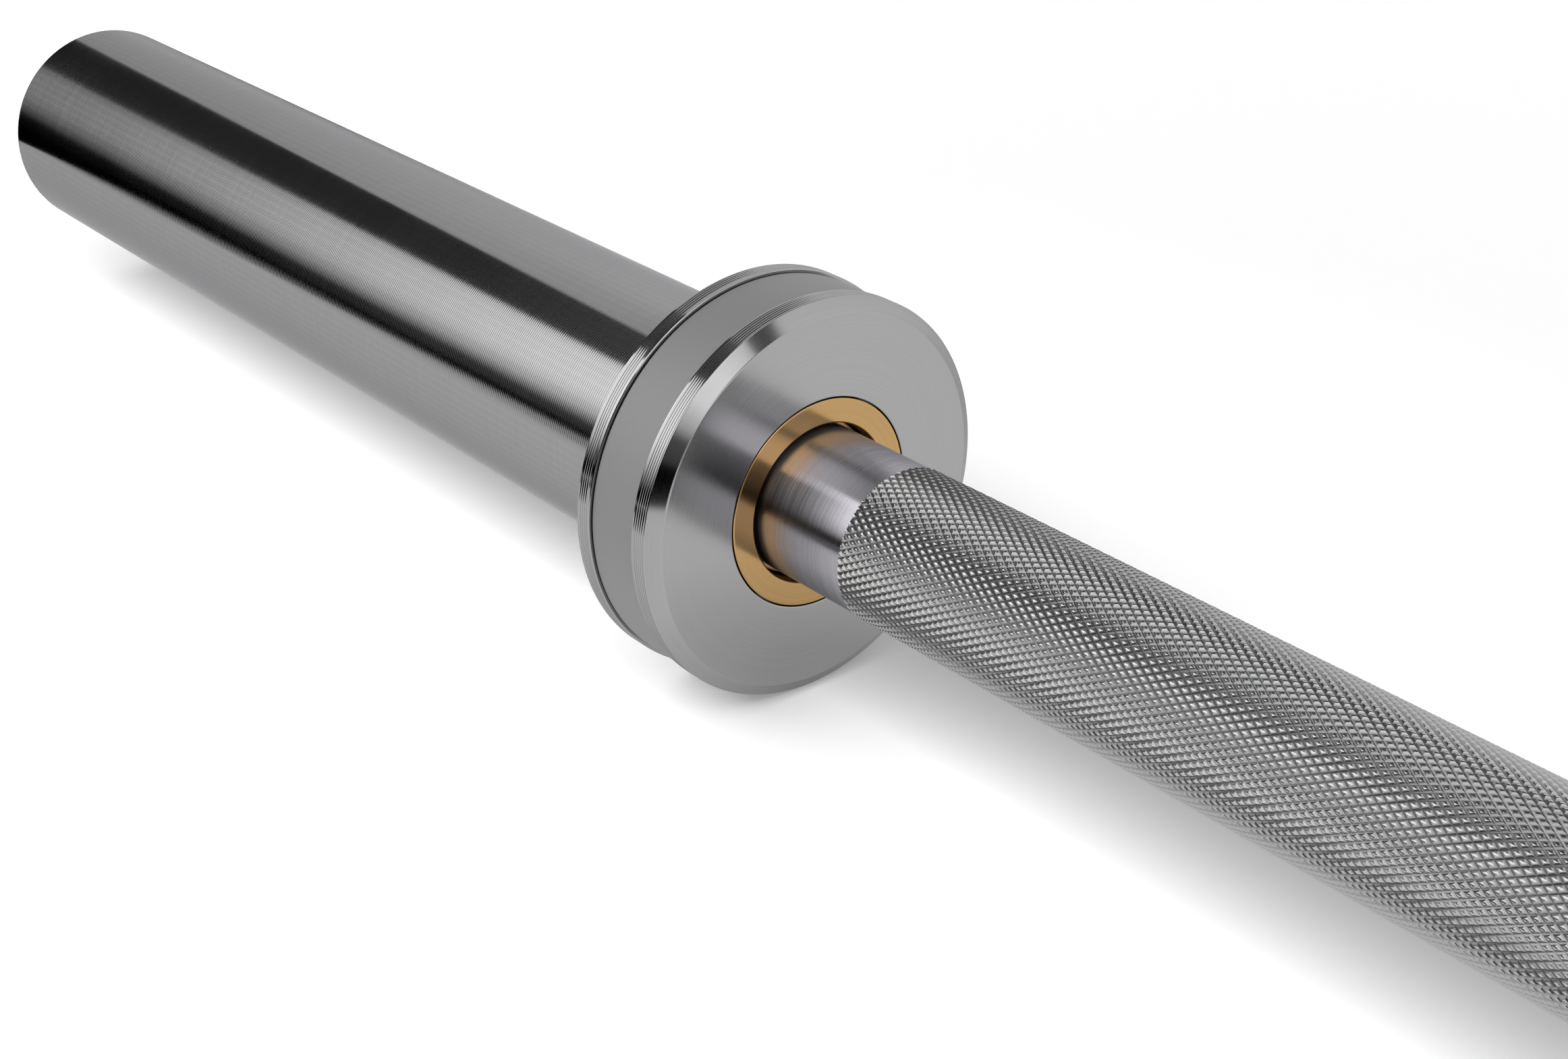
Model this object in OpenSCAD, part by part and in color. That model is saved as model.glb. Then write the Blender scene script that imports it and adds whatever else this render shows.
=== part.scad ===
// Olympic barbell with two freely turning sleeves on bronze bushes.
// The bar lies along X with its centre at the origin. Each end piece is drawn on the Z axis, where z is
// the distance outward from the inboard face of the collar, and is then turned and moved to its end.

/* [Shaft] */
// Clear length between the two collars
grip_len = 1264; // [1000:2:1400]
// Diameter of the plain shaft
shaft_d = 28; // [27:0.1:29]
// Diameter of the turned-down journals that carry the sleeves
journal_d = 25; // [22:0.5:25.5]
// Chamfer on the outer tips of the journals
journal_chamfer = 1.5; // [0.5:0.1:3]
// Chamfer on the shoulder between shaft and journal
shoulder_chamfer = 0.4; // [0.2:0.1:1]

/* [Knurl] */
// Height of the knurl above the plain shaft
knurl_rise = 0.2; // [0.1:0.05:0.4]
// Plain stretch between each collar and the knurl
plain_end = 21; // [12:1:40]
// Length of each knurled zone, ring mark included
knurl_len = 420; // [350:5:450]
// Distance between the two smooth ring marks
ring_spacing = 910; // [860:10:930]
// Width of a smooth ring mark
ring_w = 5; // [3:0.5:10]

/* [Sleeve] */
// Outer diameter of the sleeve that plates slide on
sleeve_d = 50; // [48:0.5:52]
// Length of the sleeve behind the collar
load_len = 262.5; // [200:0.5:420]
// Chamfer on the sleeve's outer edge
sleeve_chamfer = 1.2; // [0.5:0.1:2.5]
// Diameter of the spigot that the collar rings sit on
spigot_d = 44; // [42:0.5:46]
// Diameter of the grease space between the two bushes
cavity_d = 31; // [29:0.5:32]

/* [Collar] */
// Diameter of the nose ring
nose_d = 75; // [72:0.1:80]
// Width of the nose ring's rim, chamfer included
nose_w = 5.3; // [4.5:0.1:8]
// Chamfer of the nose, measured along the bar
chamfer_w = 1.8; // [1:0.1:2.5]
// Chamfer of the nose, measured across the bar
chamfer_rise = 2.6; // [1:0.1:4]
// Diameter of the matte band
band_d = 74.4; // [71:0.1:78]
// Width of the matte band
band_w = 11.5; // [8:0.1:20]
// Diameter of the hub under the band
hub_d = 66; // [58:0.5:68]
// Diameter of the back ring
back_d = 75.6; // [72:0.1:80]
// Width of the back ring
back_w = 3.5; // [3:0.1:6]
// Plain strip of the back ring beside the band
back_strip_w = 0.7; // [0.5:0.1:1.5]
// Width of the seam between band and back ring
seam_w = 0.2; // [0.1:0.05:0.4]
// Distance between two turned grooves on the rims
groove_pitch = 0.57; // [0.4:0.01:0.8]
// Depth of a turned groove
groove_deep = 0.14; // [0.05:0.01:0.2]
// Plain edge between the last groove and the outward side of a rim
rim_land = 0.5; // [0.2:0.05:0.8]

/* [Bushes] */
// Outer diameter of both bushes
bush_d = 34; // [33:0.5:36]
// Length of the inner bush behind its flange
inner_bush_len = 46; // [30:1:60]
// Length of the outer bush
outer_bush_len = 40; // [25:1:60]
// Diameter of the inner bush's flange
flange_d = 39; // [38:0.5:41]
// Thickness of the flange
flange_t = 4; // [3:0.1:5]
// Dark line between the flange and the collar face
flange_gap = 0.2; // [0.1:0.05:0.4]
// Diameter of the open mouth round the shaft
mouth_d = 29.8; // [29.4:0.1:31]
// Depth of the mouth, from the collar face to its floor
mouth_deep = 6; // [5.5:0.1:8]
// Edge break on the mouth and on the outer rim of the flange
flange_chamfer = 0.25; // [0.1:0.05:0.4]

/* [Washers and circlips] */
// Thickness of the thrust washers
washer_t = 2; // [1.5:0.1:3]
// Thickness of all four circlips
circlip_t = 1.5; // [1:0.1:2]
// Radial width of a circlip's ring
circlip_w = 2.6; // [2:0.1:3]
// Depth of a circlip's groove
circlip_deep = 0.8; // [0.5:0.1:1.2]
// Radius of a circlip's lugs
lug_r = 1.8; // [1.5:0.1:2]
// Step between the inner edge of the shaft's circlip and its lugs
lug_step = 0.4; // [0.2:0.1:0.6]
// Radius of the plier holes in the lugs
plier_r = 0.9; // [0.6:0.1:1]
// Half of the angle that a circlip is open
circlip_open = 14; // [12:1:20]

/* [End cap] */
// Diameter of the end cap
cap_d = 39; // [37:0.5:41]
// Thickness of the end cap
cap_t = 4.5; // [3.5:0.1:7]
// Diameter of the shallow dish in the cap's outer face
dish_d = 29; // [20:1:30]
// Depth of the dish
dish_deep = 1; // [0.5:0.1:1.5]
// How far the cap's circlip lies inside the end of the sleeve
cap_set_in = 2; // [1.5:0.1:4]

/* [Clearances] */
// Radial clearance of a running fit
run_gap = 0.05; // [0.02:0.01:0.09]
// Radial gap of a fixed fit, filled by retaining compound, and side play of a circlip
seat_gap = 0.03; // [0.02:0.01:0.05]
// End play on each side of a thrust washer
float_gap = 0.2; // [0.1:0.05:0.3]
// Gap between a thrust washer's rim and the bore around it
rim_gap = 0.4; // [0.3:0.1:0.6]
// Room between the journal's tip and the end cap
tip_room = 5; // [3:0.5:10]
// Land of the journal outside its circlip groove
tip_land = 3.5; // [2.5:0.5:6]

/* [Hidden] */
$fn = 96;
small_fn = 32;

// Places along the bar, outward from the collar face
back_z = nose_w + band_w + seam_w;
collar_len = back_z + back_w;
sleeve_end = collar_len + load_len;
cap_clip_z = sleeve_end - cap_set_in - circlip_t;
cap_z = cap_clip_z - cap_t;
tip_z = cap_z - tip_room;
clip_z = tip_z - tip_land - circlip_t;
outer_washer_z = clip_z - float_gap - washer_t;
outer_bush_z = outer_washer_z - float_gap - outer_bush_len;
inner_washer_z = mouth_deep - float_gap - washer_t;
shoulder_z = inner_washer_z - float_gap;
inner_bush_end = flange_t + inner_bush_len;

// Radii
shaft_r = shaft_d / 2;
journal_r = journal_d / 2;
bush_r = bush_d / 2;
seat_r = bush_r + seat_gap;
spigot_r = spigot_d / 2;
hub_r = hub_d / 2;
sleeve_r = sleeve_d / 2;
cap_r = cap_d / 2;
pocket_r = cap_r + seat_gap;
cap_groove_r = pocket_r + circlip_deep;
clip_groove_r = journal_r - circlip_deep;

// Turns an end piece from the Z axis to the bar's left end (side -1) or right end (side 1)
module at_end(side) {
    translate([side * grip_len / 2, 0, 0]) rotate([0, side * 90, 0]) children();
}

// Round bar between two places, with its middle at the origin of the X axis
module rod(r, x1, x2) {
    translate([x1, 0, 0]) rotate([0, 90, 0]) cylinder(r = r, h = x2 - x1);
}

// Plain ring between two places
module ring(r_out, r_in, z1, z2) {
    difference() {
        translate([0, 0, z1]) cylinder(r = r_out, h = z2 - z1);
        translate([0, 0, z1 - 1]) cylinder(r = r_in, h = z2 - z1 + 2);
    }
}

// Outline of a rim with evenly turned V grooves, from one place to another
function groove_count(width) = floor(width / groove_pitch);
function grooved_line(r, z1, z2) = let (n = groove_count(z2 - z1), start = z2 - n * groove_pitch)
    [for (i = [0 : n - 1]) each [
        [r, start + i * groove_pitch],
        [r - groove_deep, start + (i + 0.5) * groove_pitch]],
    [r, z2]];

// Knurled stretch of the grip, on one side of the bar's centre
module knurl_zone(side) {
    outer = grip_len / 2 - plain_end;
    r = shaft_r + knurl_rise;
    ring_x = ring_spacing / 2;
    mirror([side < 0 ? 1 : 0, 0, 0]) {
        rod(r, outer - knurl_len, ring_x - ring_w / 2);
        rod(r, ring_x + ring_w / 2, outer);
    }
}

// One end of the shaft outside the collar face: shoulder, journal and circlip groove
module journal() {
    core = shoulder_chamfer;
    rotate_extrude() polygon([
        [0, -core], [shaft_r, -core], [shaft_r, shoulder_z - core], [shaft_r - core, shoulder_z],
        [journal_r, shoulder_z],
        [journal_r, clip_z - seat_gap], [clip_groove_r, clip_z - seat_gap],
        [clip_groove_r, clip_z + circlip_t + seat_gap], [journal_r, clip_z + circlip_t + seat_gap],
        [journal_r, tip_z - journal_chamfer], [journal_r - journal_chamfer, tip_z], [0, tip_z]]);
}

module shaft() {
    color("lightgray") union() {
        rod(shaft_r, -grip_len / 2, grip_len / 2);
        for (side = [-1, 1]) {
            knurl_zone(side);
            at_end(side) journal();
        }
    }
}

// Tube that the plates slide on, with the collar's spigot, both bush seats and the cap's pocket
module sleeve_tube() {
    z_groove = cap_clip_z - seat_gap;
    z_land = cap_clip_z + circlip_t + seat_gap;
    color("gainsboro") rotate_extrude() polygon([
        [seat_r, flange_t], [spigot_r, flange_t],
        [spigot_r, collar_len], [sleeve_r, collar_len],
        [sleeve_r, sleeve_end - sleeve_chamfer], [sleeve_r - sleeve_chamfer, sleeve_end],
        [pocket_r, sleeve_end], [pocket_r, z_land], [cap_groove_r, z_land],
        [cap_groove_r, z_groove], [pocket_r, z_groove], [pocket_r, cap_z],
        [seat_r, cap_z], [seat_r, outer_bush_z], [cavity_d / 2, outer_bush_z],
        [cavity_d / 2, inner_bush_end], [seat_r, inner_bush_end]]);
}

// Ring behind the band, with a plain strip and a grooved rim, against the sleeve's shoulder
module collar_back_ring() {
    r = back_d / 2;
    edge = groove_deep;
    color("silver") rotate_extrude() polygon(concat(
        [[spigot_r + seat_gap, back_z], [r - edge, back_z], [r, back_z + edge]],
        grooved_line(r, back_z + back_strip_w, collar_len - rim_land),
        [[r, collar_len - edge], [r - edge, collar_len], [spigot_r + seat_gap, collar_len]]));
}

// Matte band on the hub of the nose
module collar_band() {
    r = band_d / 2;
    edge = groove_deep;
    color("darkgray") rotate_extrude() polygon([
        [hub_r + seat_gap, nose_w], [r, nose_w], [r, nose_w + band_w - edge],
        [r - edge, nose_w + band_w], [hub_r + seat_gap, nose_w + band_w]]);
}

// Nose with the flat inboard face, the chamfer, a grooved rim and the hub that carries the band
module collar_nose() {
    r = nose_d / 2;
    color("silver") rotate_extrude() polygon(concat(
        [[flange_d / 2 + flange_gap, 0], [r - chamfer_rise, 0], [r, chamfer_w]],
        grooved_line(r, chamfer_w, nose_w - rim_land),
        [[r, nose_w - groove_deep], [r - groove_deep, nose_w], [hub_r, nose_w], [hub_r, back_z],
        [spigot_r + seat_gap, back_z], [spigot_r + seat_gap, flange_t],
        [flange_d / 2 + flange_gap, flange_t]]));
}

// Flanged bronze bush, flush with the collar face, with an open mouth for the shaft's shoulder
module inner_bush() {
    c = flange_chamfer;
    color("darkgoldenrod") rotate_extrude() polygon([
        [mouth_d / 2 + c, 0], [flange_d / 2 - c, 0], [flange_d / 2, c], [flange_d / 2, flange_t],
        [bush_r, flange_t], [bush_r, inner_bush_end], [journal_r + run_gap, inner_bush_end],
        [journal_r + run_gap, mouth_deep], [mouth_d / 2, mouth_deep], [mouth_d / 2, c]]);
}

module outer_bush() {
    color("darkgoldenrod")
        ring(bush_r, journal_r + run_gap, outer_bush_z, outer_bush_z + outer_bush_len);
}

module inner_washer() {
    color("goldenrod")
        ring(mouth_d / 2 - rim_gap, journal_r + run_gap, inner_washer_z, inner_washer_z + washer_t);
}

module outer_washer() {
    color("goldenrod")
        ring(seat_r - rim_gap, journal_r + run_gap, outer_washer_z, outer_washer_z + washer_t);
}

// Open ring with a plier hole in each lug; the lugs stand on the circle of radius lug_at
module circlip(r_in, r_out, lug_at) {
    reach = 2 * r_out;
    difference() {
        union() {
            difference() {
                cylinder(r = r_out, h = circlip_t);
                translate([0, 0, -1]) cylinder(r = r_in, h = circlip_t + 2);
                translate([0, 0, -1]) linear_extrude(circlip_t + 2) polygon([[0, 0],
                    reach * [cos(circlip_open), -sin(circlip_open)],
                    reach * [cos(circlip_open), sin(circlip_open)]]);
            }
            for (side = [-1, 1]) rotate([0, 0, side * circlip_open])
                translate([lug_at, 0, 0]) cylinder(r = lug_r, h = circlip_t, $fn = small_fn);
        }
        for (side = [-1, 1]) rotate([0, 0, side * circlip_open])
            translate([lug_at, 0, -1]) cylinder(r = plier_r, h = circlip_t + 2, $fn = small_fn);
    }
}

// Circlip in the journal's groove, which keeps the sleeve on the shaft
module shaft_circlip() {
    r_in = clip_groove_r + seat_gap;
    color("dimgray") translate([0, 0, clip_z])
        circlip(r_in, r_in + circlip_w, r_in + lug_step + lug_r);
}

// Circlip in the sleeve's groove, which holds the end cap
module cap_circlip() {
    r_out = cap_groove_r - seat_gap;
    color("dimgray") translate([0, 0, cap_clip_z])
        circlip(r_out - circlip_w, r_out, pocket_r - seat_gap - lug_r);
}

// Turned disc that closes the sleeve, with a shallow dish
module end_cap() {
    edge = flange_chamfer;
    front = cap_z + cap_t;
    color("silver") rotate_extrude() polygon([
        [0, cap_z], [cap_r, cap_z], [cap_r, front - edge], [cap_r - edge, front],
        [dish_d / 2, front], [dish_d / 2 - dish_deep, front - dish_deep],
        [0, front - dish_deep]]);
}

shaft();
at_end(-1) sleeve_tube();  // left_sleeve_tube
at_end(-1) collar_back_ring();  // left_collar_back_ring
at_end(-1) collar_band();  // left_collar_band
at_end(-1) collar_nose();  // left_collar_nose
at_end(-1) inner_bush();  // left_inner_bush
at_end(-1) outer_bush();  // left_outer_bush
at_end(-1) inner_washer();  // left_inner_washer
at_end(-1) outer_washer();  // left_outer_washer
at_end(-1) shaft_circlip();  // left_shaft_circlip
at_end(-1) end_cap();  // left_end_cap
at_end(-1) cap_circlip();  // left_cap_circlip
at_end(1) sleeve_tube();  // right_sleeve_tube
at_end(1) collar_back_ring();  // right_collar_back_ring
at_end(1) collar_band();  // right_collar_band
at_end(1) collar_nose();  // right_collar_nose
at_end(1) inner_bush();  // right_inner_bush
at_end(1) outer_bush();  // right_outer_bush
at_end(1) inner_washer();  // right_inner_washer
at_end(1) outer_washer();  // right_outer_washer
at_end(1) shaft_circlip();  // right_shaft_circlip
at_end(1) end_cap();  // right_end_cap
at_end(1) cap_circlip();  // right_cap_circlip
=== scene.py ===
import math
from collections import namedtuple

import bpy
import numpy as np
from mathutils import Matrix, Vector


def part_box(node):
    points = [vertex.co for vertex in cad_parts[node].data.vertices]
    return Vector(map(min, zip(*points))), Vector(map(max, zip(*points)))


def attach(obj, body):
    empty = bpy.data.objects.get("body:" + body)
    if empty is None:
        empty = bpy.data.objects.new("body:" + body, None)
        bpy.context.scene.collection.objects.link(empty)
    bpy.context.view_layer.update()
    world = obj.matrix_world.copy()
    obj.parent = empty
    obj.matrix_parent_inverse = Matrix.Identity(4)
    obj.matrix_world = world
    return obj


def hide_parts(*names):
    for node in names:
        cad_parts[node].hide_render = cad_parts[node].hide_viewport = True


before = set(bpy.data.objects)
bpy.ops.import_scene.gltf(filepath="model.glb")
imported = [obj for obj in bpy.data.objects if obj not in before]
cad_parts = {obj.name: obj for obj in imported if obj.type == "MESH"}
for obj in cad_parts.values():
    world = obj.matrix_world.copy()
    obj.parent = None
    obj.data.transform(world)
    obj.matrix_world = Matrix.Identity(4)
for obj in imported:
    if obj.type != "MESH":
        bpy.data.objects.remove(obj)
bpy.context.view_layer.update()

# Camera. It stands beside the grip and above the bar, and looks back along it at the left collar,
# as the photograph does. The place is measured from the middle of the collar's inboard face.
face_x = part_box("left_collar_nose")[1].x
camera_from_face = Vector((0.2863, -0.2448, 0.1872))
camera_looks = Vector((-0.6865, 0.5672, -0.4550))
camera_data = bpy.data.cameras.new("camera")
camera_data.sensor_width = 36.0
camera_data.lens = 54.77
camera_data.clip_start = 0.01
camera = bpy.data.objects.new("camera", camera_data)
camera.location = Vector((face_x, 0, 0)) + camera_from_face
camera.rotation_euler = camera_looks.to_track_quat("-Z", "Y").to_euler()
bpy.context.scene.collection.objects.link(camera)
bpy.context.scene.camera = camera
bpy.context.scene.view_settings.view_transform = "Standard"


# Table. A pale sheet under the bar. Its glow is for the camera and for reflections alone, and the lamp
# and the surround light the rest of it, so that it keeps the bar's shadow.
def add_node(tree, kind, feeds=(), **settings):
    made = tree.nodes.new(kind)
    for name, value in settings.items():
        setattr(made, name, value)
    for socket, value in dict(feeds).items():
        if isinstance(value, bpy.types.NodeSocket):
            tree.links.new(value, made.inputs[socket])
        else:
            made.inputs[socket].default_value = value
    return made


def maths(tree, operation, *values):
    """One operation on numbers or sockets."""
    return add_node(tree, "ShaderNodeMath", enumerate(values), operation=operation).outputs[0]


def vector_maths(tree, operation, *values, gives="Vector"):
    made = add_node(tree, "ShaderNodeVectorMath", enumerate(values), operation=operation)
    return made.outputs[gives]


def from_to(tree, value, low, high, at_low, at_high):
    """Straight from one level to another as a value goes from low to high, and level beyond."""
    return add_node(tree, "ShaderNodeMapRange", enumerate((value, low, high, at_low, at_high))).outputs[0]


def empty_material(name):
    material = bpy.data.materials.new(name)
    material.use_nodes = True
    material.node_tree.nodes.clear()
    return material


def stage_sheet(name, points, faces, material):
    mesh = bpy.data.meshes.new(name)
    mesh.from_pydata(points, [], faces)
    mesh.materials.append(material)
    sheet = bpy.data.objects.new(name, mesh)
    bpy.context.scene.collection.objects.link(sheet)
    return sheet


table_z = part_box("left_collar_back_ring")[0].z
table_corners = ((-8, -6), (8, -6), (8, 6), (-8, 6))
paper_white = (0.86, 0.86, 0.86, 1)
table = empty_material("table_paper")
tree = table.node_tree
ray = add_node(tree, "ShaderNodeLightPath")
place = add_node(tree, "ShaderNodeTexCoord").outputs["Object"]

# In the metal it is nearly white, with a painted shadow that dims it close to where the collar stands on
# it
mirror_x_from = -0.6
mirror_x_to = 0.2
mirror_at_collar = 0.97
mirror_at_grip = 1.0
stands_at = (face_x + 0.004, 0.006, table_z)
dim_within = 0.010
clear_beyond = 0.055
painted_shadow_level = 0.60
along_bar = add_node(tree, "ShaderNodeSeparateXYZ", {0: place}).outputs[0]
mirror = from_to(tree, along_bar, mirror_x_from, mirror_x_to, mirror_at_collar, mirror_at_grip)
away = vector_maths(tree, "DISTANCE", place, stands_at, gives="Value")
# Painted shadow of the collar on the table, seen in the metal alone
painted_collar_shadow = from_to(tree, away, dim_within, clear_beyond, painted_shadow_level, 1.0)
mirror = maths(tree, "MULTIPLY", mirror, painted_collar_shadow)
mirror = add_node(tree, "ShaderNodeEmission", {"Strength": mirror})

# To the camera its glow grows away from the collar, as the lamp's light on it fades
lamp_over = (face_x, 0, 0)
lamp_shape = (0.6, 1, 0)
fade_from = 0.25
fade_to = 1.7
glow_under_lamp = 0.15
glow_far_off = 0.84
away = vector_maths(tree, "SUBTRACT", place, lamp_over)
away = vector_maths(tree, "MULTIPLY", away, lamp_shape)
away = vector_maths(tree, "LENGTH", away, gives="Value")
glow = from_to(tree, away, fade_from, fade_to, glow_under_lamp, glow_far_off)
glow = maths(tree, "MULTIPLY", ray.outputs["Is Camera Ray"], glow)
glow = add_node(tree, "ShaderNodeEmission", {"Strength": glow})
paper = add_node(tree, "ShaderNodeBsdfDiffuse", {"Color": paper_white})
paper = add_node(tree, "ShaderNodeAddShader", {0: paper.outputs[0], 1: glow.outputs[0]})
paper = add_node(tree, "ShaderNodeMixShader", {0: ray.outputs["Is Glossy Ray"], 1: paper.outputs[0],
    2: mirror.outputs[0]})
add_node(tree, "ShaderNodeOutputMaterial", {"Surface": paper.outputs[0]})
stage_sheet("table", [(x, y, table_z) for x, y in table_corners], [(0, 1, 2, 3)], table)


# Light tent. Bright and dark cloths stand about a metre from the bar, as metal is lit for a photograph.
# They show in reflections alone. Elevations go round the bar: 0 is the front, 90 above, 180 the back.
def levels(tree, value, stops):
    """Grey level along a value, straight between its stops of (value, level)."""
    low = stops[0][0]
    high = stops[-1][0]
    peak = max(level for _, level in stops) or 1.0
    ramp = add_node(tree, "ShaderNodeValToRGB", {0: from_to(tree, value, low, high, 0.0, 1.0)})
    elements = ramp.color_ramp.elements
    for number, (at, level) in enumerate(stops):
        at = (at - low) / (high - low)
        if 0 < number < len(stops) - 1:
            element = elements.new(at)
        else:
            element = elements[0 if number == 0 else -1]
        element.color = (level / peak,) * 3 + (1,)
    return maths(tree, "MULTIPLY", ramp.outputs[0], peak)


def cloth_material(name, by_elevation, by_x):
    material = empty_material(name)
    tree = material.node_tree
    place = add_node(tree, "ShaderNodeTexCoord").outputs["Object"]
    x, y, z = add_node(tree, "ShaderNodeSeparateXYZ", {0: place}).outputs
    front = maths(tree, "MULTIPLY", y, -1.0)
    degrees = maths(tree, "DEGREES", maths(tree, "ARCTAN2", z, front))
    strength = maths(tree, "MULTIPLY", levels(tree, degrees, by_elevation), levels(tree, x, by_x))
    glow = add_node(tree, "ShaderNodeEmission", {"Strength": strength})
    add_node(tree, "ShaderNodeOutputMaterial", {"Surface": glow.outputs[0]})
    return material


def hide_but_reflections(sheet):
    sheet.visible_camera = False
    sheet.visible_diffuse = False
    sheet.visible_shadow = False
    sheet.visible_transmission = False


def tent_cloth(name, stations, by_elevation, by_x=((-9, 1.0), (9, 1.0)), radius=1.0, steps=24):
    """A cloth bent round the bar. Each station is (x, lowest elevation, highest elevation)."""
    points = []
    for x, low, high in stations:
        for turn in np.radians(np.linspace(low, high, steps)):
            points.append((x, -radius * math.cos(turn), radius * math.sin(turn)))
    faces = []
    for number in range(len(stations) - 1):
        for step in range(steps - 1):
            here = number * steps + step
            faces.append((here, here + 1, here + steps + 1, here + steps))
    hide_but_reflections(stage_sheet(name, points, faces, cloth_material(name, by_elevation, by_x)))


tent_cloth("front_cloth",
    stations=[(-5.0, 6, 58.5), (-2.8, 6, 59), (-1.6, 6, 62), (-0.2, 6, 62)],
    by_elevation=[(6, 0.1), (14.6, 0.58), (26.6, 0.95), (38.6, 1.0), (50.6, 0.96), (63.5, 0.92)],
    by_x=[(-3.5, 0.27), (-2.8, 0.28), (-2.67, 0.34), (-2.4, 0.54), (-2.26, 0.88), (-2.12, 1.18),
        (-1.97, 1.52), (-1.86, 1.75), (-1.7, 2.15), (-1.5, 2.4), (-1.38, 1.9), (-0.9, 1.7), (-0.2, 1.5)])
tent_cloth("low_flag",
    stations=[(-7.0, -2.2, 6), (-0.2, -2.2, 6)],
    by_elevation=[(-3, 1.0), (6, 1.0)],
    by_x=[(-9, 0.0), (-2.1, 0.0), (-1.75, 0.16), (-1.6, 0.16), (-1.5, 0.0), (-0.2, 0.0)])
tent_cloth("lens_flag",
    stations=[(-0.2, -2.2, 52), (0.8, -2.2, 52)],
    by_elevation=[(-3, 0.0), (52, 0.0)])
tent_cloth("overhead_flag",
    stations=[(-5.0, 58.5, 135), (-3.6, 59, 128), (-2.79, 59, 115), (-1.85, 61.5, 97), (-1.56, 62, 95)],
    by_elevation=[(60, 1.0), (140, 1.0)],
    by_x=[(-3.5, 0.03), (-2.2, 0.04), (-1.7, 0.06), (-1.5, 0.06)])
tent_cloth("grip_flag",
    stations=[(-1.56, 62, 116), (-1.3, 62, 122), (-0.6, 62, 135)],
    by_elevation=[(62, 0.45), (95, 0.5), (103, 0.6), (116, 0.9), (135, 0.9)],
    by_x=[(-1.56, 1.0), (-1.45, 0.7), (-1.3, 0.2), (-0.6, 0.08)])
tent_cloth("back_cloth", radius=1.05,
    stations=[(-5.0, 90, 178), (-0.6, 90, 178)],
    by_elevation=[(90, 0.85), (110, 0.85), (122, 0.95), (135, 1.04), (147, 1.12), (178, 1.18)],
    by_x=[(-3.5, 0.78), (-2.8, 0.8), (-1.6, 1.0), (-0.6, 1.0)])
tent_cloth("small_flag",
    stations=[(0.2, 103, 118), (0.7, 103, 118)],
    by_elevation=[(100, 0.1), (120, 0.1)])
tent_cloth("near_cloth", radius=1.1,
    stations=[(-0.2, -2.0, 103), (0.8, -2.0, 103), (0.85, -2.0, 150), (6.0, -2.0, 150)],
    by_elevation=[(-2, 0.0), (10, 0.0), (13, 0.10), (30, 0.14), (39, 0.78), (60, 1.55), (80, 1.66),
        (97, 1.39), (103, 1.2), (105, 0.02), (117, 0.02), (118, 0.3), (123, 0.44), (133, 0.8), (150, 1.0)])

# A dark sheet lies on the table in front of the bar and round its left end, with one dim stripe
flag_outline = [(-7, -5), (6, -5), (6, -0.43), (0.8, -0.43), (0, -0.19), (-0.96, -0.19),
    (-0.975, -0.154), (-1.03, -0.132), (-1.055, -0.103), (-1.055, 0.3), (-7, 0.3)]
flag_z = table_z + 0.0005
dark_sheet = cloth_material("table_flag",
    by_elevation=[(-180, 1.0), (180, 1.0)],
    by_x=[(-9, 0.0), (-0.95, 0.0), (-0.91, 0.45), (-0.87, 0.45), (-0.84, 0.0), (9, 0.0)])
hide_but_reflections(stage_sheet("table_flag", [(x, y, flag_z) for x, y in flag_outline],
    [tuple(range(len(flag_outline)))], dark_sheet))


# Surround and lamp. The room is white to the camera and in the metal, and otherwise a low, even light.
# One large soft lamp hangs in front of the collar and throws the bar's shadow back on the table.
room_light = 0.30
room_seen = 1.0
world = bpy.data.worlds.new("surround")
bpy.context.scene.world = world
world.use_nodes = True
world.node_tree.nodes.clear()
tree = world.node_tree
ray = add_node(tree, "ShaderNodeLightPath")
seen = maths(tree, "MAXIMUM", ray.outputs["Is Camera Ray"], ray.outputs["Is Glossy Ray"])
seen = maths(tree, "MAXIMUM", seen, ray.outputs["Is Transmission Ray"])
level = from_to(tree, seen, 0.0, 1.0, room_light, room_seen)
sky = add_node(tree, "ShaderNodeBackground", {"Color": (1, 1, 1, 1), "Strength": level})
add_node(tree, "ShaderNodeOutputWorld", {"Surface": sky.outputs[0]})

lamp_data = bpy.data.lights.new("front_lamp", "AREA")
lamp_data.shape = "RECTANGLE"
lamp_data.size = 3.0
lamp_data.size_y = 1.2
lamp_data.energy = 57.0
lamp = bpy.data.objects.new("front_lamp", lamp_data)
lamp.location = (face_x, -1.22, 1.57)
lamp.rotation_euler = (0.66, 0, 0)
lamp.visible_glossy = False
bpy.context.scene.collection.objects.link(lamp)


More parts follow.
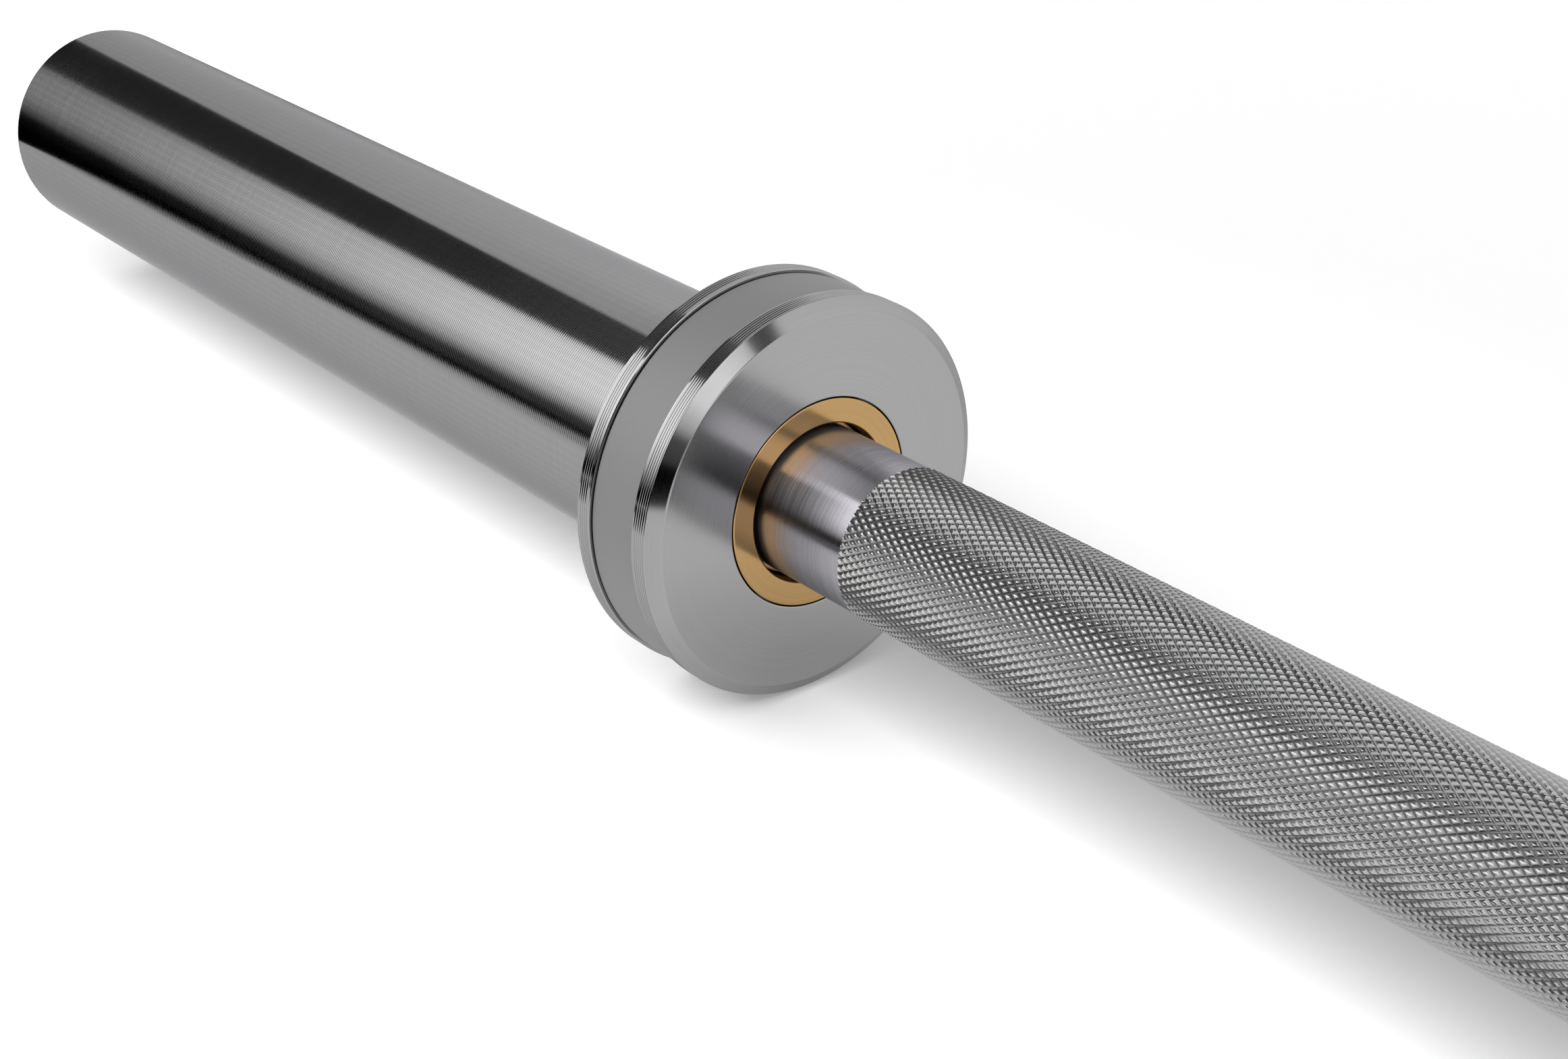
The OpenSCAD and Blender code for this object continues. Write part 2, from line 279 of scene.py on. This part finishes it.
# Shaft. One bar of spring steel, ground and polished, with its grip knurled and a journal turned on
# each end. The plain stretches and journals are turned here, and the knurl is laid on a core.
def turned_marks_group():
    """Rings that a lathe leaves round the bar's axis, and the faint film of handling."""
    group = bpy.data.node_groups.new("turned_marks", "ShaderNodeTree")
    for name in ("Lines per metre", "Ring length"):
        group.interface.new_socket(name, in_out="INPUT", socket_type="NodeSocketFloat")
    for name in ("Streaks", "Smudge", "Radius"):
        group.interface.new_socket(name, in_out="OUTPUT", socket_type="NodeSocketFloat")
    given = add_node(group, "NodeGroupInput").outputs
    place = add_node(group, "ShaderNodeTexCoord").outputs["Object"]
    along = add_node(group, "ShaderNodeSeparateXYZ", {0: place}).outputs[0]
    across = vector_maths(group, "MULTIPLY", place, (0, 1, 1))
    radius = vector_maths(group, "LENGTH", across, gives="Value")
    outward = vector_maths(group, "NORMALIZE", across)
    lines = maths(group, "MULTIPLY", maths(group, "ADD", along, radius), given["Lines per metre"])
    lines = add_node(group, "ShaderNodeCombineXYZ", {0: lines}).outputs[0]
    ring = add_node(group, "ShaderNodeVectorMath", {0: outward, "Scale": given["Ring length"]},
        operation="SCALE")
    marks = vector_maths(group, "ADD", lines, ring.outputs[0])
    streaks = add_node(group, "ShaderNodeTexNoise", {"Vector": marks, "Scale": 1.0, "Detail": 2.0,
        "Roughness": 0.6})
    smudge = add_node(group, "ShaderNodeTexNoise", {"Vector": place, "Scale": 38.0, "Detail": 3.0})
    add_node(group, "NodeGroupOutput", {"Streaks": streaks.outputs["Fac"],
        "Smudge": smudge.outputs["Fac"], "Radius": radius})
    return group


turned_marks = turned_marks_group()
faint_streak = 0.3
strong_streak = 0.7
clean = 0.35
smudged = 0.65
streak_roughness = 0.1
across_the_rings = 0.25


def turned_metal(name, colour, edge_tint, roughness, stretch, lines=3000.0, ring_length=0.6,
        contrast=0.03, film=0.02, valley=None):
    """Turned or brushed metal whose highlights stretch across the lathe rings. The valley is (lowest
    radius, highest radius, tone and added roughness at the lowest): a groove's floor is duller, and its
    lower tone there is painted shade, on the knurl with oil as well."""
    material = empty_material(name)
    tree = material.node_tree
    marks = add_node(tree, "ShaderNodeGroup", node_tree=turned_marks)
    marks.inputs["Lines per metre"].default_value = lines
    marks.inputs["Ring length"].default_value = ring_length
    streaks = marks.outputs["Streaks"]
    tone = from_to(tree, streaks, faint_streak, strong_streak, 1 - contrast, 1 + contrast)
    rough = from_to(tree, streaks, faint_streak, strong_streak,
        roughness * (1 - streak_roughness), roughness * (1 + streak_roughness))
    if valley:
        low, high, dark, dull = valley
        # Painted shade: the tone falls towards the groove floor
        painted_groove_shade = from_to(tree, marks.outputs["Radius"], low, high, dark, 1.0)
        tone = maths(tree, "MULTIPLY", tone, painted_groove_shade)
        duller = from_to(tree, marks.outputs["Radius"], low, high, dull, 0.0)
        rough = maths(tree, "ADD", rough, duller)
    shade = add_node(tree, "ShaderNodeVectorMath", {0: colour, "Scale": tone}, operation="SCALE")
    veil = from_to(tree, marks.outputs["Smudge"], clean, smudged, 0.0, film)
    rough = maths(tree, "ADD", rough, veil)
    rings = add_node(tree, "ShaderNodeTangent", direction_type="RADIAL", axis="X")
    metal = add_node(tree, "ShaderNodeBsdfPrincipled", {"Base Color": shade.outputs[0],
        "Metallic": 1.0, "Roughness": rough, "Specular Tint": edge_tint, "Anisotropic": stretch,
        "Anisotropic Rotation": across_the_rings, "Tangent": rings.outputs[0]})
    add_node(tree, "ShaderNodeOutputMaterial", {"Surface": metal.outputs[0]})
    return material


# A turned section is drawn corner by corner: distance out from the collar face, radius, rounding of the
# corner, and on the way to it the finish and the number and depth of the tool's hollow rings
Corner = namedtuple("Corner", "u r ease finish scallops depth", defaults=(0, 0, 0, 0))


def goes_round(corners):
    """Twice the area inside a section, positive or negative by the way that it is drawn."""
    u, r = np.array([(c.u, c.r) for c in corners], float).T
    return np.sum(u * np.roll(r, -1) - np.roll(u, -1) * r)


def turned_bands(corners, steps=4):
    """Bands from point to point of a section, each with the true normals of its own stretch:
    rows of (u, r, normal u, normal r) at the band's start and end, and its finish."""
    solid = corners[0].r == 0 and corners[-1].r == 0
    outward = 1 if goes_round(corners) > 0 else -1
    place = np.array([(c.u, c.r) for c in corners], float)
    bands = []

    def square_to(way):
        return outward * np.array((way[1], -way[0])) / np.hypot(*way)

    def band(start, end, start_normal, end_normal, finish):
        bands.append(((*start, *start_normal), (*end, *end_normal), finish))

    count = len(corners)
    for i in range(count - 1 if solid else count):
        here = corners[i]
        there = corners[(i + 1) % count]
        corner = place[(i + 1) % count]
        way = corner - place[i]
        way = way / np.hypot(*way)
        flat = square_to(way)
        start = place[i] + way * here.ease
        end = corner - way * there.ease
        if there.scallops:
            # Each hollow is an arc, which leans by 4 depths to its width where it meets the next
            step = (end - start) / there.scallops
            lean = way * 4 * there.depth / np.hypot(*step)
            for k in range(there.scallops):
                ridge = start + step * k
                floor = ridge + step / 2 - flat * there.depth
                band(ridge, floor, flat + lean, flat, there.finish)
                band(floor, ridge + step, flat, flat - lean, there.finish)
        else:
            band(start, end, flat, flat, there.finish)
        if there.ease:
            after = place[(i + 2) % count] - corner
            ahead = corner + after / np.hypot(*after) * there.ease
            last_point = end
            last_normal = square_to(corner - end)
            for t in np.linspace(0, 1, steps)[1:]:
                point = (1 - t) ** 2 * end + 2 * t * (1 - t) * corner + t * t * ahead
                normal = square_to((1 - t) * (corner - end) + t * (ahead - corner))
                band(last_point, point, last_normal, normal, there.finish)
                last_point = point
                last_normal = normal
    return bands


def joined_mesh(name, places, faces, normals, unrolled, finishes, finish_of):
    """One mesh with its own corner normals, and a map of the surface rolled out flat."""
    mesh = bpy.data.meshes.new(name)
    loops = np.concatenate([f.ravel() for f in faces]).astype(np.int32)
    counts = np.concatenate([np.full(len(f), f.shape[1]) for f in faces])
    starts = np.concatenate([[0], np.cumsum(counts)[:-1]]).astype(np.int32)
    mesh.vertices.add(len(places))
    mesh.vertices.foreach_set("co", np.asarray(places, np.float32).ravel())
    mesh.loops.add(len(loops))
    mesh.loops.foreach_set("vertex_index", loops)
    mesh.polygons.add(len(counts))
    mesh.polygons.foreach_set("loop_start", starts)
    mesh.update(calc_edges=True)
    flat_map = mesh.uv_layers.new(name="OFBake")
    flat_map.data.foreach_set("uv", np.concatenate([m.reshape(-1, 2) for m in unrolled])
        .astype(np.float32).ravel())
    mesh.shade_smooth()
    normals = np.concatenate([n.reshape(-1, 3) for n in normals])
    mesh.normals_split_custom_set((normals / np.linalg.norm(normals, axis=1, keepdims=True)).tolist())
    for finish in finishes:
        mesh.materials.append(finish)
    mesh.polygons.foreach_set("material_index", np.concatenate(finish_of).astype(np.int32))
    piece = bpy.data.objects.new(name, mesh)
    bpy.context.scene.collection.objects.link(piece)
    return piece


def lathe(name, corners, side, finishes, segments=192):
    """A turned piece at the left (side -1) or right (side 1) end of the bar."""
    bands = turned_bands(corners)
    solid = corners[0].r == 0
    rows = [start for start, _, _ in bands] + ([bands[-1][1]] if solid else [])
    turn = np.arange(segments + 1) * 2 * math.pi / segments
    round_y = np.cos(turn)
    round_z = np.sin(turn)
    places = []
    spots = []
    for u, r, _, _ in rows:
        x = side * (u - face_x)
        copies = 1 if r == 0 else segments
        spots.append(len(places) + np.arange(segments + 1) % copies)
        places += np.stack([np.full(copies, x), r * round_y[:copies], r * round_z[:copies]], 1).tolist()
    lengths = [math.hypot(end[0] - start[0], end[1] - start[1]) for start, end, _ in bands]
    reach = np.concatenate([[0], np.cumsum(lengths)]) / sum(lengths)
    inside_out = goes_round(corners) * side > 0
    here = np.arange(segments)
    after = here + 1
    faces, normals, unrolled, finish_of = [], [], [], []
    for k, (start, end, finish) in enumerate(bands):
        low = spots[k]
        high = spots[(k + 1) % len(spots)]
        ring = [(low, start, reach[k], here), (low, start, reach[k], after),
            (high, end, reach[k + 1], after), (high, end, reach[k + 1], here)]
        # A band that meets the axis is made of triangles
        if start[1] == 0:
            ring.pop(0)
        if end[1] == 0:
            ring.pop(-1)
        if inside_out:
            ring.reverse()
        faces.append(np.stack([spot[at] for spot, _, _, at in ring], 1))
        normals.append(np.stack([np.stack([np.full(segments, side * point[2]), point[3] * round_y[at],
            point[3] * round_z[at]], 1) for _, point, _, at in ring], 1))
        unrolled.append(np.stack([np.stack([np.full(segments, far), at / segments], 1)
            for _, _, far, at in ring], 1))
        finish_of.append(np.full(segments, finish))
    return joined_mesh(name, places, faces, normals, unrolled, finishes, finish_of)


ends = (("left", -1), ("right", 1))
steel_tint = (0.55, 0.55, 0.56, 1)
shaft_steel = turned_metal("shaft_steel", (0.56, 0.545, 0.585), steel_tint, roughness=0.23, stretch=0.92,
    lines=5000.0, contrast=0.06)
shaft_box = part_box("shaft")
knurl_r = shaft_box[1].z
tip_u = shaft_box[1].x + face_x
clip_from, clip_to = (corner.x + face_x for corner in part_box("right_shaft_circlip"))
clip_floor_r = 0.0117
plain_r = 0.014
core_r = 0.0135
journal_r = 0.0125
tip_chamfer = 0.0015
tip_ease = 0.0002
shoulder_u = 0.0036
shoulder_chamfer = 0.0004
shoulder_ease = 0.0001
knurl_from = 0.021
knurl_to = 0.441
ring_mark_x = 0.455
ring_mark_half = 0.0025
ring_from = abs(face_x) - ring_mark_x - ring_mark_half
ring_to = ring_from + 2 * ring_mark_half
half = [Corner(tip_u, 0), Corner(tip_u, journal_r - tip_chamfer, tip_ease),
    Corner(tip_u - tip_chamfer, journal_r, tip_ease), Corner(clip_to, journal_r),
    Corner(clip_to, clip_floor_r), Corner(clip_from, clip_floor_r), Corner(clip_from, journal_r),
    Corner(shoulder_u, journal_r), Corner(shoulder_u, plain_r - shoulder_chamfer, shoulder_ease),
    Corner(shoulder_u - shoulder_chamfer, plain_r, shoulder_ease), Corner(-knurl_from, plain_r),
    Corner(-knurl_from, core_r), Corner(-ring_from, core_r), Corner(-ring_from, plain_r),
    Corner(-ring_to, plain_r), Corner(-ring_to, core_r), Corner(-knurl_to, core_r),
    Corner(-knurl_to, plain_r)]
other_half = [corner._replace(u=2 * face_x - corner.u) for corner in reversed(half)]
shaft = lathe("shaft_bar", half + other_half, 1, [shaft_steel])
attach(shaft, "shaft")
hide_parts("shaft")

# Knurl. Two sets of V grooves are rolled into the grip at 30 degrees to the axis and leave diamonds with
# slightly domed tops. It is laid in stretches that end on a row of half diamonds.
knurl_pitch = 0.00243
knurl_starts = 62
knurl_root_r = 0.01375
top_edge_r = 0.01415
# The roots are painted dimmer: painted shade in the grooves, and oil
root_shade_and_oil = 0.50
root_dullness = 0.12
into_core = 0.0003
# How far across a diamond its flanks reach, and how its top, flanks and roots lean, in radians
flank = 0.30
lean_top = 0.20
lean_flank = 0.80
lean_root = 0.45
knurl_steel = turned_metal("knurl_steel", (0.48, 0.48, 0.483), steel_tint, roughness=0.18, stretch=0.0,
    lines=9000.0, valley=(knurl_root_r, top_edge_r, root_shade_and_oil, root_dullness))


def diamond_pattern():
    """One diamond's faces on a 4 x 4 grid along its two groove directions, with a point in the middle.
    Each face is a list of (grid point, lean of the surface there)."""
    middle = ((1.5, 1.5), (0, 0))
    one_side = [
        [((1, 1), (-lean_top, -lean_top)), ((2, 1), (lean_top, -lean_top)), middle],
        [((1, 0), (0, -lean_root)), ((2, 0), (0, -lean_root)), ((2, 1), (0, -lean_flank)),
            ((1, 1), (0, -lean_flank))],
        [((0, 0), (0, -lean_root)), ((1, 0), (0, -lean_root)), ((1, 1), (0, -lean_flank))],
        [((2, 0), (0, -lean_root)), ((3, 0), (0, -lean_root)), ((2, 1), (0, -lean_flank))]]
    pattern = []
    for _ in range(4):
        pattern += one_side
        one_side = [[((3 - b, a), (-lean_v, lean_u)) for (a, b), (lean_u, lean_v) in face]
            for face in one_side]
    return pattern


# The flat map gives the diamonds most of its length, and a narrow strip to each end wall and the bore
diamonds_to = 0.9
wall_strips = (0.91, 0.94)
bore_strip = 0.97
strip_width = 0.02


def strip_map(first, second, count):
    """A row of squares round the bar on the flat map, from one place along the map to another."""
    here = np.arange(count) / count
    after = here + 1 / count
    return np.stack([np.stack([np.full(count, place), at], 1) for place, at in
        ((first, here), (second, here), (second, after), (first, after))], 1)


def knurl(name, u_from, u_to, side, finish):
    """A stretch of knurl between two distances inward from the left or right collar face."""
    rows = round((u_to - u_from) / knurl_pitch * 2)
    pitch = (u_to - u_from) / rows * 2
    across = math.pi * plain_r * 2 / knurl_starts
    row, number = (a.ravel() for a in np.meshgrid(np.arange(rows + 1), np.arange(knurl_starts),
        indexing="ij"))
    column = 2 * number + row % 2
    grid = [(a, b) for a in range(4) for b in range(4)] + [(1.5, 1.5)]
    share = {0: 0.0, 1: flank, 1.5: 0.5, 2: 1 - flank, 3: 1.0}
    along = np.array([share[a] + share[b] - 1 for a, b in grid]) + row[:, None]
    round_ = np.array([share[a] - share[b] for a, b in grid]) + column[:, None]

    # Neighbouring diamonds share their points: a point's key is its place on the whole grid
    keys_round = 6 * knurl_starts
    key_along = np.array([a + b for a, b in grid]) + 3 * row[:, None]
    key_round = (np.array([a - b for a, b in grid]) + 3 * column[:, None]) % keys_round
    keys = (key_along * keys_round + key_round).astype(int).ravel()
    _, first, shared = np.unique(keys, return_index=True, return_inverse=True)
    shared = shared.reshape(along.shape)

    height = {(1.5, 1.5): knurl_r, (1, 1): top_edge_r, (1, 2): top_edge_r, (2, 1): top_edge_r,
        (2, 2): top_edge_r}
    radius = np.array([height.get(point, knurl_root_r) for point in grid]) + 0 * along
    turn = round_ * math.pi / knurl_starts
    x = side * (-(u_from + along * pitch / 2) - face_x)
    places = np.stack([x, radius * np.cos(turn), radius * np.sin(turn)], -1).reshape(-1, 3)[first]
    flat = np.stack([along / rows * diamonds_to, (round_ + 1) / (2 * knurl_starts + 2)], -1)
    along_groove = np.array((pitch, across)) / math.hypot(across, pitch)

    faces, normals, unrolled = [], [], []
    for face in diamond_pattern():
        if side > 0:
            face = face[::-1]
        sums = [a + b for (a, b), _ in face]
        kept = (row > 0) & (row < rows)
        if min(sums) >= 3:
            kept |= row == 0
        if max(sums) <= 3:
            kept |= row == rows
        at = [grid.index(point) for point, _ in face]
        lean = np.tan(np.array([lean for _, lean in face]))
        angle = turn[kept][:, at]
        out = np.stack([0 * angle, np.cos(angle), np.sin(angle)], -1)
        circling = np.stack([0 * angle, -np.sin(angle), np.cos(angle)], -1)
        # The pattern's two directions both run along the bar, and lean to either side round it
        down = np.array((-side, 0, 0)) * (lean.sum(1) * along_groove[1])[:, None]
        side_way = (lean[:, 0] - lean[:, 1]) * along_groove[0]
        faces.append(shared[kept][:, at])
        normals.append(out + down + circling * side_way[:, None])
        unrolled.append(flat[kept][:, at])

    # End walls down into the core, which go round along the tops of the half diamonds
    inner_r = core_r - into_core
    rim = [grid.index(point) for point in ((0, 3), (1, 2), (1.5, 1.5), (2, 1))]
    bore_edges = []
    for plane, strip, facing in ((0, wall_strips[0], side), (rows, wall_strips[1], -side)):
        cells = np.where(row == plane)[0]
        order = np.argsort(turn[cells][:, rim].ravel())
        spots = turn[cells][:, rim].ravel()[order]
        outer = shared[cells][:, rim].ravel()[order]
        inner = len(places) + np.arange(len(spots))
        wall_x = side * (-(u_from + plane * pitch / 2) - face_x)
        places = np.concatenate([places, np.stack([np.full(len(spots), wall_x),
            inner_r * np.cos(spots), inner_r * np.sin(spots)], 1)])
        wall = np.stack([outer, inner, np.roll(inner, -1), np.roll(outer, -1)], 1)
        wall_map = strip_map(strip + strip_width, strip, len(spots))
        if facing > 0:
            wall = wall[:, ::-1]
            wall_map = wall_map[:, ::-1]
        faces.append(wall)
        normals.append(np.broadcast_to(np.array((facing, 0, 0)), wall.shape + (3,)))
        unrolled.append(wall_map)
        bore_edges.append((inner, spots))

    # Plain bore
    (ring_a, spots), (ring_b, _) = bore_edges
    bore = np.stack([ring_a, ring_b, np.roll(ring_b, -1), np.roll(ring_a, -1)], 1)
    angles = np.stack([spots, spots, np.roll(spots, -1), np.roll(spots, -1)], 1)
    bore_map = strip_map(bore_strip, bore_strip + strip_width, len(spots))
    if side > 0:
        bore = bore[:, ::-1]
        angles = angles[:, ::-1]
        bore_map = bore_map[:, ::-1]
    faces.append(bore)
    normals.append(-np.stack([0 * angles, np.cos(angles), np.sin(angles)], -1))
    unrolled.append(bore_map)
    return joined_mesh(name, places, faces, normals, unrolled, [finish],
        [np.zeros(len(face)) for face in faces])


inner_half = (ring_to + knurl_to) / 2
stretches = ((knurl_from, ring_from), (ring_to, inner_half), (inner_half, knurl_to))
for end, side in ends:
    for number, (low, high) in enumerate(stretches, 1):
        piece = knurl(f"{end}_knurl_{number}", low, high, side, knurl_steel)
        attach(piece, "shaft")

# Bushes and washers. Cast bearing bronze, turned bright. The inner bush shows its flange in the collar's
# face, and its mouth is bored wider than the shaft, which leaves a dark ring round the steel.
# All of the bush but its flange face is painted near black as shade, its mouth's bore and rim too.
bronze_tint = (0.95, 0.85, 0.65, 1)
bronze_face = turned_metal("bronze_face", (0.51, 0.32, 0.14), bronze_tint, roughness=0.11, stretch=0.80,
    lines=6000.0, contrast=0.05)
# Painted shade: a near-black bronze for the bore, the flange's rim and the hidden faces
shade_painted_bronze = turned_metal("shade_painted_bronze", (0.13, 0.07, 0.025), bronze_tint, roughness=0.35, stretch=0.4)
bronze_bore = turned_metal("bearing_bronze", (0.52, 0.31, 0.13), bronze_tint, roughness=0.22, stretch=0.6)
flange_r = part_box("left_inner_bush")[1].z
flange_t = 0.004
flange_ease = 0.0003
bush_r = 0.017
bush_end = 0.050
bush_bore_r = 0.01255
mouth_r = 0.0149
mouth_deep = 0.006
bright = 0
shaded_dark = 1


def finish_solid(node, material):
    """A solid that is shown as it is gets its metal."""
    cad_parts[node].data.materials.clear()
    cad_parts[node].data.materials.append(material)


for end, side in ends:
    outline = [Corner(0, mouth_r, flange_ease, shaded_dark), Corner(0, flange_r, flange_ease, bright),
        Corner(flange_t, flange_r, finish=shaded_dark), Corner(flange_t, bush_r, finish=shaded_dark),
        Corner(bush_end, bush_r, finish=shaded_dark), Corner(bush_end, bush_bore_r, finish=shaded_dark),
        Corner(mouth_deep, bush_bore_r, finish=shaded_dark), Corner(mouth_deep, mouth_r, finish=shaded_dark)]
    bush = lathe(f"{end}_flanged_bush", outline, side, [bronze_face, shade_painted_bronze])
    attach(bush, f"{end}_sleeve")
    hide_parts(f"{end}_inner_bush")
    for hidden in ("outer_bush", "inner_washer", "outer_washer"):
        finish_solid(f"{end}_{hidden}", bronze_bore)

# Sleeve. Steel tube, fine turned from end to end for the plates to slide on. The tool leaves a ring
# about every half millimetre, and coarser ones where it starts beside the collar.
sleeve_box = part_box("right_sleeve_tube")
cap_from, cap_to = (corner.x + face_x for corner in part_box("right_end_cap"))
cap_clip_from, cap_clip_to = (corner.x + face_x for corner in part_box("right_cap_circlip"))
sleeve_r = sleeve_box[1].z
sleeve_end = sleeve_box[1].x + face_x
end_chamfer = 0.0012
chamfer_ease = 0.0002
end_ease = 0.0003
spigot_r = 0.022
pocket_r = 0.01953
cap_groove_r = 0.02033
collar_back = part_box("right_collar_back_ring")[1].x + face_x
ring_pitch = 0.000571
ring_depth = 0.000014
# The ring floors are painted a little dimmer, as painted shade
ring_floor_shade = 0.88
coarse_rings = 9
coarse_depth = ring_depth * 3
coarse_to = collar_back + coarse_rings * 2 * ring_pitch
fine_rings = round((sleeve_end - end_chamfer - coarse_to) / ring_pitch)
sleeve_steel = turned_metal("sleeve_steel", (0.38, 0.38, 0.382), steel_tint, roughness=0.13, stretch=0.8,
    valley=(sleeve_r - ring_depth, sleeve_r, ring_floor_shade, 0.0))
for end, side in ends:
    outline = [Corner(collar_back, spigot_r), Corner(collar_back, sleeve_r),
        Corner(coarse_to, sleeve_r, scallops=coarse_rings, depth=coarse_depth),
        Corner(sleeve_end - end_chamfer, sleeve_r, chamfer_ease, scallops=fine_rings, depth=ring_depth),
        Corner(sleeve_end, sleeve_r - end_chamfer, end_ease), Corner(sleeve_end, pocket_r, end_ease),
        Corner(cap_clip_to, pocket_r), Corner(cap_clip_to, cap_groove_r),
        Corner(cap_clip_from, cap_groove_r), Corner(cap_clip_from, pocket_r), Corner(cap_from, pocket_r),
        Corner(cap_from, bush_r), Corner(flange_t, bush_r), Corner(flange_t, spigot_r)]
    tube = lathe(f"{end}_sleeve", outline, side, [sleeve_steel], segments=96)
    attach(tube, f"{end}_sleeve")
    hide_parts(f"{end}_sleeve_tube")

# Collar. Three turned rings on the sleeve's spigot: a back ring with a grooved rim, a bead-blasted band,
# and a nose with a grooved rim, a chamfer and a flat face.
nose_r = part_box("left_collar_nose")[1].z
band_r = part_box("left_collar_band")[1].z
back_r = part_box("left_collar_back_ring")[1].z
nose_bore_r = 0.0197
bore_ease = 0.0003
chamfer_w = 0.0018
chamfer_rise = 0.0026
face_r = nose_r - chamfer_rise
face_ease = 0.00025
chamfer_end_ease = 0.0001
rim_from = 0.00195
rim_to = 0.0048
nose_grooves = 5
nose_w = 0.0053
band_w = 0.0115
band_bore_r = 0.03303
band_ease = 0.0002
back_from = 0.0170
back_rim_from = 0.01772
back_rim_to = 0.0200
back_grooves = 4
hub_r = 0.033
fit_r = 0.02203
edge = 0.00014
edge_ease = 0.00004
groove_depth = 0.00006
collar_segments = 256
face_steel = turned_metal("face_steel", (0.395, 0.395, 0.395), steel_tint, roughness=0.19, stretch=0.75,
    lines=5000.0, contrast=0.02)
rim_steel = turned_metal("rim_steel", (0.38, 0.38, 0.38), steel_tint, roughness=0.11, stretch=0.8)
band_tint = (0.3, 0.3, 0.3, 1)
blasted_grain = 8000.0
band_steel = turned_metal("band_steel", (0.445, 0.445, 0.445), band_tint, roughness=0.72, stretch=0.0,
    lines=blasted_grain, ring_length=blasted_grain * band_r, contrast=0.04, film=0.0)
faced = 0
rimmed = 1
for end, side in ends:
    outline = [Corner(0, nose_bore_r, bore_ease, rimmed), Corner(0, face_r, face_ease, faced),
        Corner(chamfer_w, nose_r, chamfer_end_ease, rimmed), Corner(rim_from, nose_r, finish=rimmed),
        Corner(rim_to, nose_r, finish=rimmed, scallops=nose_grooves, depth=groove_depth),
        Corner(nose_w - edge, nose_r, edge_ease, rimmed),
        Corner(nose_w, nose_r - edge, edge_ease, rimmed), Corner(nose_w, hub_r, finish=rimmed),
        Corner(back_from, hub_r, finish=rimmed), Corner(back_from, fit_r, finish=rimmed),
        Corner(flange_t, fit_r, finish=rimmed), Corner(flange_t, nose_bore_r, finish=rimmed)]
    nose = lathe(f"{end}_nose", outline, side, [face_steel, rim_steel], collar_segments)
    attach(nose, f"{end}_sleeve")
    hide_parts(f"{end}_collar_nose")

    outline = [Corner(nose_w, band_bore_r), Corner(nose_w, band_r, band_ease),
        Corner(nose_w + band_w, band_r, band_ease), Corner(nose_w + band_w, band_bore_r)]
    band = lathe(f"{end}_band", outline, side, [band_steel], collar_segments)
    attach(band, f"{end}_sleeve")
    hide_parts(f"{end}_collar_band")

    outline = [Corner(back_from, fit_r), Corner(back_from, back_r - edge, edge_ease),
        Corner(back_from + edge, back_r, edge_ease), Corner(back_rim_from, back_r),
        Corner(back_rim_to, back_r, scallops=back_grooves, depth=groove_depth),
        Corner(collar_back - edge, back_r, edge_ease), Corner(collar_back, back_r - edge, edge_ease),
        Corner(collar_back, fit_r)]
    back = lathe(f"{end}_back_ring", outline, side, [rim_steel], collar_segments)
    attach(back, f"{end}_sleeve")
    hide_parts(f"{end}_collar_back_ring")

# End cap and circlips. A turned steel disc closes the sleeve's outer end, and a dark spring-steel
# circlip in a groove keeps it there. A like circlip on the journal keeps the sleeve on the shaft.
cap_steel = turned_metal("cap_steel", (0.38, 0.38, 0.38), steel_tint, roughness=0.34, stretch=1.0,
    lines=5000.0)
spring_steel = turned_metal("spring_steel", (0.09, 0.09, 0.095), steel_tint, roughness=0.42, stretch=0.0)
cap_r = 0.0195
cap_ease = 0.0002
cap_rim_ease = 0.00025
dish_r = 0.0145
dish_deep = 0.001
for end, side in ends:
    outline = [Corner(cap_from, 0), Corner(cap_from, cap_r, cap_ease), Corner(cap_to, cap_r, cap_rim_ease),
        Corner(cap_to, dish_r, cap_ease), Corner(cap_to - dish_deep, dish_r - dish_deep, cap_ease),
        Corner(cap_to - dish_deep, 0)]
    cap = lathe(f"{end}_cap", outline, side, [cap_steel])
    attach(cap, f"{end}_sleeve")
    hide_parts(f"{end}_end_cap")
    for clip in ("cap_circlip", "shaft_circlip"):
        finish_solid(f"{end}_{clip}", spring_steel)
